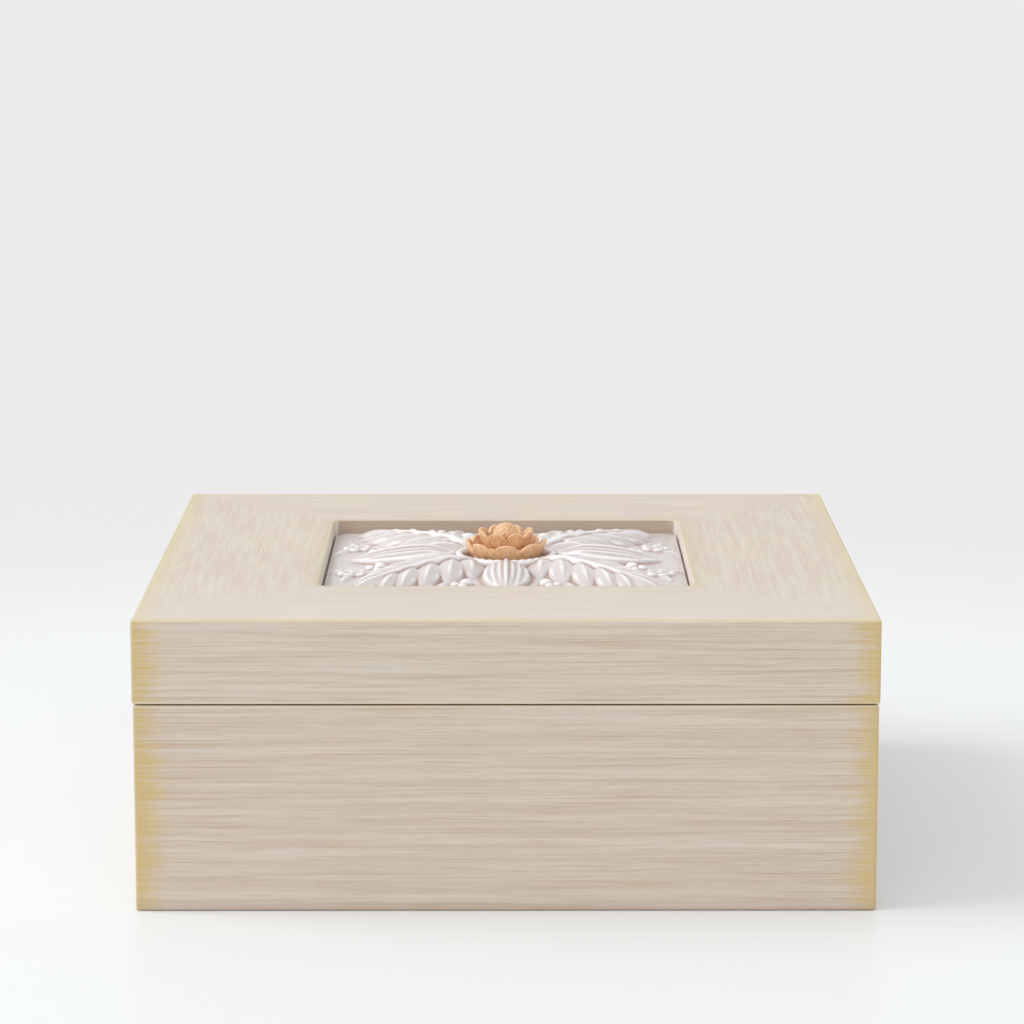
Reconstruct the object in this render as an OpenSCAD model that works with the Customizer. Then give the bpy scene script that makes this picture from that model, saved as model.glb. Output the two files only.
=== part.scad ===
// Square keepsake box: a mitred base and a hinged lid, whose mitred top frames a carved panel.
// Millimetres. The origin is the centre of the underside, +Z is up and the front faces -Y.

/* [Base] */
// Outer width of the base, left to right
base_w = 203; // [170:1:250]
// Outer depth of the base, front to back
base_d = 203; // [170:1:250]
// Height of the base's walls
base_h = 57.5; // [40:0.5:90]
// Thickness of the walls of base and lid
wall_t = 10; // [9:0.5:14]
// Thickness of the bottom board
bottom_t = 5; // [3:0.5:8]
// How far the bottom board reaches under the walls, in their rabbet
bottom_lap = 5; // [3:0.5:7]
// Thickness of the felt on the floor
felt_t = 1.5; // [1:0.5:3]

/* [Lid] */
// How far the lid stands proud of the base on each side
lid_proud = 0.3; // [0.1:0.1:1.5]
// Height of the lid's rim, below the top frame
rim_h = 14.3; // [12:0.1:30]
// Thickness of the top frame
rail_t = 9; // [8:0.5:12]
// Width of the top frame's rails and stiles
rail_w = 48.4; // [36:0.1:55]
// Width of the step under the window's edge
step_w = 5; // [3:0.5:8]
// Height of the step under the window's edge
step_h = 3; // [2.5:0.5:4]
// Radius of the window's corners
window_r = 3.5; // [2:0.5:6]
// Radius of the outer edges
edge_r = 0.8; // [0.3:0.1:2]
// Bevel along the edges of the seam, the window and the foot
bevel = 0.3; // [0.2:0.1:1]

/* [Carved panel] */
// Depth of the panel's shoulders below the lid's top
panel_sink = 3.6; // [2.5:0.1:4]
// Rise of the panel's middle above its shoulders
panel_crown = 1.2; // [0.6:0.1:2]
// Radius of the panel's edges
shoulder_r = 2.2; // [1.5:0.1:3]
// Height of the leaves' highest point above the lid's top
leaf_rise = 1.8; // [0.5:0.1:4]
// Distance from the panel's centre to the leaves' highest point
leaf_peak = 24; // [20:0.5:30]
// How much lower a leaf's edges lie than its middle
leaf_bow = 2.6; // [1.5:0.1:3]
// Height of the leaves' tips above the panel's shoulders
tip_lift = 1.4; // [1:0.1:2]
// Width of the lobed leaves that point to the corners
corner_leaf_w = 27; // [20:0.5:32]
// Radius of the lobe next to a corner leaf's root
lobe_r = 4.8; // [3:0.1:6]
// How much smaller each further lobe is, in radius
lobe_taper = 0.6; // [0.2:0.1:0.8]
// Lobes along each edge of a corner leaf
lobes = 4; // [3:1:5]
// Width of the plain leaves between them
side_leaf_w = 14; // [10:0.5:18]
// Bare margin between a plain leaf's tip and the panel's edge
leaf_margin = 6; // [4:0.5:10]
// Bare margin between a corner leaf's tip and the panel's corner
corner_margin = 9; // [7:0.5:14]
// Width of the grooves along the leaves
flute_w = 1.6; // [1:0.1:2.4]
// Slant of the veins: how far they run on towards the root before they meet the middle groove
vein_slant = 9; // [5:0.5:12]
// Radius of the berries between the leaves
berry_r = 2; // [1.5:0.1:3]
// Distance of the berries from the panel's centre, along the plain leaves
berry_ring = 37; // [30:0.5:40]
// Distance of the berries from the middle of the plain leaves
berry_off = 11.5; // [9:0.5:14]
// Thickness of the board behind the panel
backing_t = 3; // [2:0.5:5]
// How far the backing board laps over the rails, past the step
backing_lap = 9; // [7:0.5:14]

/* [Rosette] */
// Radius of the rosette
rosette_r = 12.5; // [10:0.5:16]
// Height of the rosette's button above the lid's top
rosette_rise = 8.8; // [6:0.1:12]
// Petals in each ring
petals = 8; // [6:1:10]
// Height of the outer ring of petals
outer_ring_h = 6.8; // [5:0.1:8]
// Height of the inner ring of petals
inner_ring_h = 9.8; // [8.5:0.1:11]
// Radius of the inner ring of petals
inner_ring_r = 8.5; // [7:0.1:9.5]
// Radius of the button
button_r = 4.2; // [3:0.1:5]
// Radius of the collar's bead round the rosette
collar_r = 1.3; // [0.8:0.1:2]
// Depth of the rosette's seat in the panel
seat_depth = 0.6; // [0.3:0.1:1]
// Radius of the rosette's peg
peg_r = 4; // [3:0.5:6]
// Length of the rosette's peg
peg_len = 4; // [2:0.5:4.5]

/* [Hinges] */
// Length of each hinge
hinge_len = 32; // [24:1:50]
// Distance from the base's side to the middle of the hinge next to it
hinge_end = 43.5; // [36:0.5:55]
// Distance from the hinge axis to the base's back face
hinge_inset = 3; // [2.5:0.1:3.5]
// Thickness of the hinge leaves
leaf_t = 1; // [0.8:0.1:1.2]
// Radius of the knuckles
knuckle_r = 1.75; // [1.6:0.05:2.1]
// Knuckles on each hinge
knuckles = 5; // [3:2:7]
// Radius of the hinge pin
pin_r = 0.8; // [0.6:0.05:1]
// Angle at which the lid's bevelled back edge stops on the base
lid_stop = 100; // [90:1:115]

/* [Screws] */
// Radius of a screw's shank
screw_r = 0.9; // [0.7:0.05:1.1]
// Radius of a screw's countersunk head
screw_head_r = 1.6; // [1.4:0.05:1.9]
// Length of a screw
screw_len = 7.5; // [6:0.5:9]
// Distance from a hinge's end to the screw next to it
screw_end = 6; // [4:0.5:8]
// Distance from the backing board's corner to the screw next to it, along the board's edge
backing_screw_end = 27; // [15:1:35]
// Width of the slot in a screw's head
slot_w = 0.5; // [0.3:0.1:0.7]

/* [Clearances] */
// Gap between the base and the closed lid
seam_gap = 0.5; // [0.4:0.1:1]
// Gap that shows round the carved panel
panel_gap = 0.8; // [0.4:0.1:1.5]
// Gap round pieces that are glued into a recess
glue_gap = 0.1; // [0.05:0.05:0.3]
// Gap between the hinge pin and its knuckles
pin_gap = 0.05; // [0.02:0.01:0.1]
// Gap between neighbouring knuckles, and between a knuckle and what it turns past
knuckle_gap = 0.3; // [0.2:0.05:0.4]
// Gap between the two leaves of a closed hinge
leaf_gap = 0.2; // [0.1:0.05:0.4]
// Angle left between the bevels of lid and base at the lid's stop
stop_gap = 1; // [0.5:0.5:3]
// Gap between the felt and the walls
felt_gap = 0.3; // [0.1:0.1:1]

/* [Hidden] */
$fn = 64;

wash = "#d6c9ba";
pearl = "#e2d6d6";
honey = "#d8a46e";
brass = "#b8954f";
felt = "#8d7f74";
plain_wood = "#cdb591";

// Sides of the box are numbered front 0, right 1, back 2 and left 3
front = 0;
right = 1;
back = 2;
left = 3;
// How far cutting shapes reach past the faces that they cut
over = 1;

// Heights
lid_z = base_h + seam_gap;
rail_z = lid_z + rim_h;
top_z = rail_z + rail_t;
axis_z = base_h + seam_gap / 2;
shoulder_z = top_z - panel_sink;
crown_z = shoulder_z + panel_crown;
flange_z = rail_z + step_h - glue_gap;

// Plan sizes
lid_w = base_w + 2 * lid_proud;
lid_d = base_d + 2 * lid_proud;
window_w = lid_w - 2 * rail_w;
window_d = lid_d - 2 * rail_w;
panel_w = window_w - 2 * panel_gap;
panel_d = window_d - 2 * panel_gap;
flange_w = window_w + 2 * (step_w - glue_gap);
flange_d = window_d + 2 * (step_w - glue_gap);
backing_w = window_w + 2 * (step_w + backing_lap);
backing_d = window_d + 2 * (step_w + backing_lap);
panel_r = window_r - panel_gap;

// Leaves of the carving: where they are highest and how far they reach from the panel's centre
seat_r = rosette_r + glue_gap;
// Place of the leaves' roots under the collar, in radii of its bead
root_share = 1.5;
leaf_top = top_z + leaf_rise;
tip_z = shoulder_z + tip_lift;
leaf_root = seat_r + root_share * collar_r;
corner_reach = norm([panel_w, panel_d]) / 2 - corner_margin;
corner_turn = atan2(panel_d, panel_w);
// How far the lobes stand out past a leaf's body
lobe_lean = 0.6 * lobe_r;
// Distance from a leaf's root to its first lobe, in spacings of the lobes
lobe_start = 0.9;

// Rosette: its seat in the panel, and the height of its button above the seat
seat_z = crown_z - seat_depth;
collar_z = crown_z + collar_r;
button_h = top_z + rosette_rise - seat_z;
// Shape of a petal, as shares of its ring's radius and height
foot_share = 0.84;
flare_share = 0.7;
rim_share = 0.9;
dish_share = 0.6;
part_share = 0.86;
// Width of a petal, in widths at which neighbours just touch
petal_lap = 1.1;

// Hinge
axis_y = base_d / 2 - hinge_inset;
hinge_leaf_w = wall_t - hinge_inset;
mortise_r = knuckle_r + knuckle_gap;
knuckle_len = (hinge_len - (knuckles - 1) * knuckle_gap) / knuckles;
screw_pitch = hinge_len - 2 * screw_end;
screw_y = (hinge_leaf_w + mortise_r) / 2;
head_h = screw_head_r - screw_r;
stop_bevel = (lid_stop + stop_gap) / 2;
backing_screw_inset = backing_lap / 2;

function side_run(side, w, d) = side % 2 == 0 ? w : d;
function arc_radius(run, rise) = (run * run + rise * rise) / (2 * rise);
// Segments that keep a wide arc true to 0.005 mm
function smooth(r) = 4 * ceil(45 / acos(1 - 0.005 / r));

// Plan and profile helpers

module corner_waste(r) {
    difference() {
        translate([-over, -over])
            square(r + over);
        translate([r, r])
            circle(r);
    }
}

module bevel_waste(size) {
    polygon([[-over, size + over], [-over, -over], [size + over, -over]]);
}

module rounded_plan(width, depth, r) {
    difference() {
        square([width, depth], center = true);
        for (x = [-1, 1])
            for (y = [-1, 1])
                scale([x, y])
                    translate([-width / 2, -depth / 2])
                        corner_waste(r);
    }
}

module mitre_plan(length, across, width) {
    polygon([
        [-length / 2, -across / 2],
        [length / 2, -across / 2],
        [length / 2 - width, -across / 2 + width],
        [-length / 2 + width, -across / 2 + width]
    ]);
}

// A board on the front side, from a profile with the outer face at 0, mitred at both ends
module mitred_board(length, across, width, low, height) {
    difference() {
        intersection() {
            translate([0, -across / 2, low])
                rotate([90, 0, 90])
                    linear_extrude(length, center = true)
                        children();
            translate([0, 0, low - over])
                linear_extrude(height + 2 * over)
                    mitre_plan(length, across, width);
        }
        for (end = [-1, 1])
            translate([end * length / 2, -across / 2, low - over])
                scale([-end, 1, 1])
                    linear_extrude(height + 2 * over)
                        corner_waste(edge_r);
    }
}

// Base

module base_wall_profile() {
    difference() {
        square([wall_t, base_h]);
        translate([wall_t - bottom_lap, -over])
            square([bottom_lap + over, bottom_t + over]);
        bevel_waste(bevel);
        translate([0, base_h])
            mirror([0, 1])
                bevel_waste(bevel);
    }
}

module base_wall(side) {
    length = side_run(side, base_w, base_d);
    across = side_run(side + 1, base_w, base_d);
    color(wash)
        difference() {
            rotate([0, 0, 90 * side])
                mitred_board(length, across, wall_t, 0, base_h)
                    base_wall_profile();
            if (side != front)
                back_bevel();
            if (side == back)
                hinge_recesses();
        }
}

module base_front_wall() {
    base_wall(front);
}

module base_back_wall() {
    base_wall(back);
}

module base_left_wall() {
    base_wall(left);
}

module base_right_wall() {
    base_wall(right);
}

module bottom_panel() {
    lap = 2 * (wall_t - bottom_lap + glue_gap);
    color(plain_wood)
        translate([-(base_w - lap) / 2, -(base_d - lap) / 2, 0])
            cube([base_w - lap, base_d - lap, bottom_t]);
}

module floor_felt() {
    inset = 2 * (wall_t + felt_gap);
    color(felt)
        translate([-(base_w - inset) / 2, -(base_d - inset) / 2, bottom_t])
            cube([base_w - inset, base_d - inset, felt_t]);
}

// Lid

module lid_wall_profile() {
    difference() {
        square([wall_t, rim_h]);
        bevel_waste(bevel);
    }
}

module lid_wall(side) {
    length = side_run(side, lid_w, lid_d);
    across = side_run(side + 1, lid_w, lid_d);
    color(wash)
        difference() {
            rotate([0, 0, 90 * side])
                mitred_board(length, across, wall_t, lid_z, rim_h)
                    lid_wall_profile();
            if (side != front)
                lid_side()
                    back_bevel();
            if (side == back)
                lid_side()
                    hinge_recesses();
        }
}

module lid_front_wall() {
    lid_wall(front);
}

module lid_back_wall() {
    lid_wall(back);
}

module lid_left_wall() {
    lid_wall(left);
}

module lid_right_wall() {
    lid_wall(right);
}

// Above its step a rail reaches on into the window, as far as the rounded corners do
module rail_profile() {
    difference() {
        square([rail_w + window_r, rail_t]);
        translate([rail_w - step_w, -over])
            square([step_w + window_r + over, step_h + over]);
        translate([0, rail_t])
            mirror([0, 1])
                corner_waste(edge_r);
    }
}

// Section of the waste for the bevel along the window's upper edge, with the edge at 0
module flare_section() {
    translate([0, top_z])
        polygon([[-over, over], [-over, -bevel], [0, -bevel], [bevel + over, over]]);
}

module window_waste() {
    translate([0, 0, rail_z - over])
        linear_extrude(rail_t + 2 * over)
            rounded_plan(window_w, window_d, window_r);
    for (side = [front, right, back, left]) {
        run = side_run(side, window_w, window_d) - 2 * window_r;
        across = side_run(side + 1, window_w, window_d);
        rotate([0, 0, 90 * side]) {
            translate([0, -across / 2, 0])
                rotate([90, 0, -90])
                    linear_extrude(run, center = true)
                        flare_section();
            translate([run / 2, window_r - across / 2, 0])
                rotate([0, 0, -90])
                    rotate_extrude(angle = 90)
                        translate([window_r, 0])
                            flare_section();
        }
    }
}

module lid_rail(side) {
    length = side_run(side, lid_w, lid_d);
    across = side_run(side + 1, lid_w, lid_d);
    color(wash)
        difference() {
            rotate([0, 0, 90 * side])
                mitred_board(length, across, rail_w + window_r, rail_z, rail_t)
                    rail_profile();
            window_waste();
            at_backing_screws(side)
                screw_hole();
        }
}

module lid_front_rail() {
    lid_rail(front);
}

module lid_back_rail() {
    lid_rail(back);
}

module lid_left_stile() {
    lid_rail(left);
}

module lid_right_stile() {
    lid_rail(right);
}

// Carved panel

module crown_profile(width) {
    flat = width / 2 - shoulder_r;
    bow_r = arc_radius(flat, panel_crown);
    intersection() {
        translate([0, crown_z - bow_r])
            circle(bow_r, $fn = smooth(bow_r));
        translate([-flat, rail_z])
            square([2 * flat, crown_z]);
    }
    translate([-width / 2, rail_z])
        square([width, shoulder_z - shoulder_r - rail_z]);
    for (end = [-1, 1])
        translate([end * flat, shoulder_z - shoulder_r])
            circle(shoulder_r);
}

module pillow() {
    intersection() {
        rotate([90, 0, 0])
            linear_extrude(panel_d, center = true)
                crown_profile(panel_w);
        rotate([90, 0, 90])
            linear_extrude(panel_w, center = true)
                crown_profile(panel_d);
        translate([0, 0, rail_z])
            linear_extrude(crown_z)
                rounded_plan(panel_w, panel_d, panel_r);
    }
}

// Pointed oval between two points on the X axis
module pointed_oval(root, reach, width) {
    r = arc_radius((reach - root) / 2, width / 2);
    intersection_for(side = [-1, 1])
        translate([(root + reach) / 2, side * (r - width / 2)])
            circle(r, $fn = smooth(r));
}

// Places of the lobes along a corner leaf, counted from its root
function lobe_size(i) = lobe_r - lobe_taper * i;
function lobe_x(root, reach, i) = root + (reach - root) * (i + lobe_start) / (lobes + lobe_start);
function lobe_y(root, reach, width, i) =
    let (r = arc_radius((reach - root) / 2, width / 2 - lobe_lean))
    let (x = lobe_x(root, reach, i) - (root + reach) / 2)
    sqrt(r * r - x * x) - r + width / 2 - lobe_size(i);

module lobed_oval(root, reach, width) {
    pointed_oval(root, reach, width - 2 * lobe_lean);
    for (i = [0 : lobes - 1])
        for (side = [-1, 1])
            translate([lobe_x(root, reach, i), side * lobe_y(root, reach, width, i)])
                circle(lobe_size(i));
}

// Section of a leaf: bowed across its width, with a groove along its middle
module leaf_section(width, arch_r) {
    bow_r = arc_radius(width / 2, leaf_bow);
    depth = 2 * leaf_bow + panel_sink + leaf_rise;
    difference() {
        intersection() {
            translate([arch_r - bow_r, 0])
                circle(bow_r, $fn = smooth(bow_r));
            translate([arch_r - depth, -width / 2 - over])
                square([depth + over, width + 2 * over]);
        }
        translate([arch_r, 0])
            rotate(45)
                square(flute_w / sqrt(2), center = true);
    }
}

// A leaf along +X that arches from its root over its highest point to its tip
module arched_leaf(width, reach) {
    arch_r = arc_radius(reach - leaf_peak, leaf_top - tip_z);
    intersection() {
        translate([0, 0, flange_z])
            linear_extrude(leaf_top)
                children();
        translate([leaf_peak, 0, leaf_top - arch_r])
            rotate([90, 0, 0])
                rotate_extrude($fn = smooth(arch_r))
                    leaf_section(width, arch_r);
    }
}

// Height of an arched leaf's surface at a place along it and across it
function leaf_z(x, y, width, arch_r) =
    let (bow_r = arc_radius(width / 2, leaf_bow))
    let (r = arch_r - bow_r + sqrt(bow_r * bow_r - y * y))
    leaf_top - arch_r + sqrt(r * r - (x - leaf_peak) * (x - leaf_peak));

// Waste for the veins that run from the notches between the lobes to the middle groove
module vein_waste(root, reach, width) {
    arch_r = arc_radius(reach - leaf_peak, leaf_top - tip_z);
    for (i = [1 : lobes - 1])
        for (side = [-1, 1]) {
            x = lobe_x(root, reach, i - 0.5);
            y = side * (lobe_y(root, reach, width, i - 0.5) + lobe_size(i) / 2);
            edge = [x, y, leaf_z(x, y, width, arch_r)];
            middle = [x - vein_slant, 0, leaf_z(x - vein_slant, 0, width, arch_r)];
            vein = middle - edge;
            translate(edge)
                rotate([0, -asin(vein.z / norm(vein)), atan2(vein.y, vein.x)])
                    rotate([45, 0, 0])
                        translate([-over, -flute_w / 3, -flute_w / 3])
                            cube([norm(vein) + over, flute_w, flute_w]);
        }
}

module corner_leaves() {
    for (turn = [corner_turn, 180 - corner_turn, 180 + corner_turn, -corner_turn])
        rotate([0, 0, turn])
            difference() {
                arched_leaf(corner_leaf_w, corner_reach)
                    lobed_oval(leaf_root, corner_reach, corner_leaf_w);
                vein_waste(leaf_root, corner_reach, corner_leaf_w);
            }
}

module side_leaves() {
    for (side = [front, right, back, left]) {
        reach = side_run(side, panel_d, panel_w) / 2 - leaf_margin;
        rotate([0, 0, 90 * side - 90])
            arched_leaf(side_leaf_w, reach)
                pointed_oval(leaf_root, reach, side_leaf_w);
    }
}

module berries() {
    for (side = [front, right, back, left])
        for (off = [-berry_off, berry_off])
            rotate([0, 0, 90 * side])
                translate([berry_ring, off, shoulder_z + panel_crown / 2])
                    sphere(berry_r);
}

module collar() {
    rotate_extrude() {
        translate([seat_r - over, rail_z])
            square([over + 2 * collar_r, collar_z - rail_z]);
        translate([seat_r + collar_r, collar_z])
            circle(collar_r);
    }
}

module carved_panel() {
    color(pearl)
        difference() {
            union() {
                translate([-flange_w / 2, -flange_d / 2, rail_z])
                    cube([flange_w, flange_d, flange_z - rail_z]);
                pillow();
                corner_leaves();
                side_leaves();
                berries();
                collar();
            }
            translate([0, 0, seat_z])
                cylinder(leaf_top, r = seat_r);
            translate([0, 0, seat_z - peg_len - glue_gap])
                cylinder(peg_len + over, r = peg_r + glue_gap);
        }
}

// Rosette

module petal_plan(r, count) {
    spread = sin(180 / count) * petal_lap;
    petal_r = r * spread / (1 + spread);
    circle(r - petal_r);
    for (i = [0 : count - 1])
        rotate(360 * i / count)
            translate([r - petal_r, 0])
                circle(petal_r);
}

// One ring of petals: flared outside, dished on top and parted by grooves
module petal_ring(r, height, count) {
    dish_r = r / 2;
    difference() {
        intersection() {
            linear_extrude(height)
                petal_plan(r, count);
            rotate_extrude()
                difference() {
                    polygon([
                        [0, 0],
                        [foot_share * r, 0],
                        [r, flare_share * height],
                        [rim_share * r, height],
                        [0, height]
                    ]);
                    translate([dish_share * r, height + flare_share * dish_r])
                        circle(dish_r);
                }
        }
        for (i = [0 : count - 1])
            rotate([0, 0, 360 * (i + 0.5) / count])
                translate([0, 0, part_share * height])
                    rotate([45, 0, 0])
                        cube([r + over, flute_w, flute_w]);
    }
}

module rosette() {
    color(honey)
        translate([0, 0, seat_z]) {
            petal_ring(rosette_r, outer_ring_h, petals);
            rotate([0, 0, 180 / petals])
                petal_ring(inner_ring_r, inner_ring_h, petals);
            cylinder(button_h - button_r, r = button_r);
            translate([0, 0, button_h - button_r])
                sphere(button_r);
            translate([0, 0, -peg_len])
                cylinder(peg_len + over, r = peg_r);
        }
}

module panel_backing() {
    color(plain_wood)
        difference() {
            translate([-backing_w / 2, -backing_d / 2, rail_z - backing_t])
                cube([backing_w, backing_d, backing_t]);
            for (side = [front, right, back, left])
                at_backing_screws(side)
                    screw_hole();
        }
}

// Screws

module screw_profile(gap) {
    polygon([
        [0, 0],
        [screw_head_r + gap, 0],
        [screw_r + gap, -head_h],
        [screw_r + gap, -screw_len + screw_r],
        [0, -screw_len - gap]
    ]);
}

module screw() {
    difference() {
        rotate_extrude()
            screw_profile(0);
        translate([-screw_head_r - over, -slot_w / 2, -slot_w])
            cube([2 * (screw_head_r + over), slot_w, slot_w + over]);
    }
}

module screw_hole() {
    rotate_extrude()
        screw_profile(pin_gap);
    cylinder(over, r = screw_head_r + pin_gap);
}

// Places of the screws through the backing board on one side, with their heads downwards
module at_backing_screws(side) {
    run = side_run(side, backing_w, backing_d);
    across = side_run(side + 1, backing_w, backing_d);
    along = run / 2 - backing_screw_end;
    rotate([0, 0, 90 * side])
        for (end = [-1, 1])
            translate([end * along, backing_screw_inset - across / 2, rail_z - backing_t])
                rotate([180, 0, 0])
                    children();
}

module backing_screws() {
    color(brass)
        for (side = [front, right, back, left])
            at_backing_screws(side)
                screw();
}

// Hinges. A hinge is drawn for the base, with its axis along X at the origin.

module at_hinge(end) {
    translate([end * (base_w / 2 - hinge_end), axis_y, axis_z])
        children();
}

// Turns a shape that is drawn for the base into its mirror image in the lid
module lid_side() {
    translate([0, 0, axis_z])
        mirror([0, 0, 1])
            translate([0, 0, -axis_z])
                children();
}

// Waste that bevels the back edge, so that lid and base meet when the lid is open
module back_bevel() {
    reach = 4 * hinge_inset;
    translate([-lid_w / 2 - over, axis_y, axis_z])
        rotate([-stop_bevel, 0, 0])
            cube([lid_w + 2 * over, reach, reach]);
}

module at_hinge_screws() {
    for (end = [-1, 1])
        translate([end * screw_pitch / 2, -screw_y, -leaf_gap / 2])
            children();
}

// Recess in the back wall for the leaves, knuckles and screws of both hinges
module hinge_recesses() {
    room = hinge_len + 2 * knuckle_gap;
    for (end = [-1, 1])
        at_hinge(end) {
            translate([-room / 2, -hinge_leaf_w - over, -leaf_gap / 2 - leaf_t])
                cube([room, hinge_leaf_w + over, leaf_t + over]);
            rotate([0, 90, 0])
                cylinder(room, r = mortise_r, center = true);
            at_hinge_screws()
                screw_hole();
        }
}

// A leaf with every second knuckle, starting from the first or the second
module hinge_leaf(first) {
    under = -leaf_gap / 2 - leaf_t;
    color(brass)
        difference() {
            union() {
                translate([-hinge_len / 2, -hinge_leaf_w, under])
                    cube([hinge_len, hinge_leaf_w - mortise_r, leaf_t]);
                for (i = [first : 2 : knuckles - 1])
                    translate([-hinge_len / 2 + i * (knuckle_len + knuckle_gap), 0, 0]) {
                        translate([0, -mortise_r - knuckle_gap, under])
                            cube([knuckle_len, mortise_r + knuckle_gap, leaf_t]);
                        rotate([0, 90, 0])
                            cylinder(knuckle_len, r = knuckle_r);
                    }
            }
            rotate([0, 90, 0])
                cylinder(hinge_len + 2 * over, r = pin_r + pin_gap, center = true);
            at_hinge_screws()
                screw_hole();
        }
}

module left_base_hinge_leaf() {
    at_hinge(-1)
        hinge_leaf(0);
}

module right_base_hinge_leaf() {
    at_hinge(1)
        hinge_leaf(0);
}

module left_lid_hinge_leaf() {
    lid_side()
        at_hinge(-1)
            hinge_leaf(1);
}

module right_lid_hinge_leaf() {
    lid_side()
        at_hinge(1)
            hinge_leaf(1);
}

module hinge_pin() {
    color(brass)
        rotate([0, 90, 0])
            cylinder(hinge_len, r = pin_r, center = true);
}

module left_hinge_pin() {
    at_hinge(-1)
        hinge_pin();
}

module right_hinge_pin() {
    at_hinge(1)
        hinge_pin();
}

module base_hinge_screws() {
    color(brass)
        for (end = [-1, 1])
            at_hinge(end)
                at_hinge_screws()
                    screw();
}

module lid_hinge_screws() {
    lid_side()
        base_hinge_screws();
}

base_front_wall();
base_back_wall();
base_left_wall();
base_right_wall();
bottom_panel();
floor_felt();
left_base_hinge_leaf();
right_base_hinge_leaf();
left_hinge_pin();
right_hinge_pin();
base_hinge_screws();
lid_front_wall();
lid_back_wall();
lid_left_wall();
lid_right_wall();
lid_front_rail();
lid_back_rail();
lid_left_stile();
lid_right_stile();
carved_panel();
rosette();
panel_backing();
backing_screws();
left_lid_hinge_leaf();
right_lid_hinge_leaf();
lid_hinge_screws();
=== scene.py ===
import math

import bpy
import numpy as np
from mathutils import Matrix, Vector


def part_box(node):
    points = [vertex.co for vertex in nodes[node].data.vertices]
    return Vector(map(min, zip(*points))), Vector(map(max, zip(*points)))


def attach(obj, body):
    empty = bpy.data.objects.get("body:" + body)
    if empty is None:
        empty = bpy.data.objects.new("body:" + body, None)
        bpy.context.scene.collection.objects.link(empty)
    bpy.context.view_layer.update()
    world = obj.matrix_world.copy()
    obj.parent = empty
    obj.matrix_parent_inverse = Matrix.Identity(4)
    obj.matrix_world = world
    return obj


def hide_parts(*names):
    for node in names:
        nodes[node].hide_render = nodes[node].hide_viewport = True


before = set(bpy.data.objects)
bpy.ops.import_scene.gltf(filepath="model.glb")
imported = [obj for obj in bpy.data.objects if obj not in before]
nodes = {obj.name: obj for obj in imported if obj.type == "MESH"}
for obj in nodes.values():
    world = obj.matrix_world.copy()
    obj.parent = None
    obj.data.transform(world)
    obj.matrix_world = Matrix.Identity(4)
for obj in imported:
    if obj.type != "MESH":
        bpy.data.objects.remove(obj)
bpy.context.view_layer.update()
mm = 0.001
tiny = 1e-9                          # keeps a divisor above 0
print("frame:", len(nodes), "CAD nodes")

# places taken from the frame, in millimetres
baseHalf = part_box("base_front_wall")[1].x / mm
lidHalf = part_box("lid_front_wall")[1].x / mm
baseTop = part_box("base_front_wall")[1].z / mm
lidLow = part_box("lid_front_wall")[0].z / mm
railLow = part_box("lid_front_rail")[0].z / mm
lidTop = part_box("lid_front_rail")[1].z / mm
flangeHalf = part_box("carved_panel")[1].x / mm
stepReach = 4.9                      # the panel's flange lies this far under the rails
windowHalf = flangeHalf - stepReach


def tone(red, green, blue):          # a screen colour, 0 to 255, as the shader takes it
    def linear(part):
        part = part / 255
        return part / 12.92 if part <= 0.04045 else ((part + 0.055) / 1.055) ** 2.4
    return (linear(red), linear(green), linear(blue), 1.0)


class Shade:                         # a shader value: arithmetic on it adds Math nodes
    def __init__(self, graph, socket):
        self.graph = graph
        self.socket = socket

    def math(self, operation, *values):
        return self.graph.node("ShaderNodeMath", {"operation": operation}, dict(enumerate(values)))

    def __add__(self, other):
        return self.math("ADD", self, other)

    def __radd__(self, other):
        return self.math("ADD", other, self)

    def __sub__(self, other):
        return self.math("SUBTRACT", self, other)

    def __rsub__(self, other):
        return self.math("SUBTRACT", other, self)

    def __mul__(self, other):
        return self.math("MULTIPLY", self, other)

    def __rmul__(self, other):
        return self.math("MULTIPLY", other, self)

    def __truediv__(self, other):
        return self.math("DIVIDE", self, other)

    def __abs__(self):
        return self.math("ABSOLUTE", self)

    def least(self, other):
        return self.math("MINIMUM", self, other)

    def most(self, other):
        return self.math("MAXIMUM", self, other)

    def ramp(self, start, end, first, last):
        span = {"Value": self, "From Min": start, "From Max": end, "To Min": first, "To Max": last}
        return self.graph.node("ShaderNodeMapRange", {"interpolation_type": "SMOOTHSTEP"}, span)

    def fade(self, start, end):      # 1 up to start, then smoothly down to 0 at end
        return self.ramp(start, end, 1.0, 0.0)

    def rise(self, start, end):      # 0 up to start, then smoothly up to 1 at end
        return self.ramp(start, end, 0.0, 1.0)


class Graph:                         # a node tree, all of whose nodes come from one method
    def __init__(self, tree):
        self.tree = tree
        tree.nodes.clear()

    def node(self, kind, settings=None, inputs=None, output=0):
        made = self.tree.nodes.new(kind)
        for key, value in (settings or {}).items():
            setattr(made, key, value)
        for key, value in (inputs or {}).items():
            if isinstance(value, Shade):
                self.tree.links.new(value.socket, made.inputs[key])
            else:
                made.inputs[key].default_value = value
        return Shade(self, made.outputs[output]) if made.outputs else None


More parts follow.
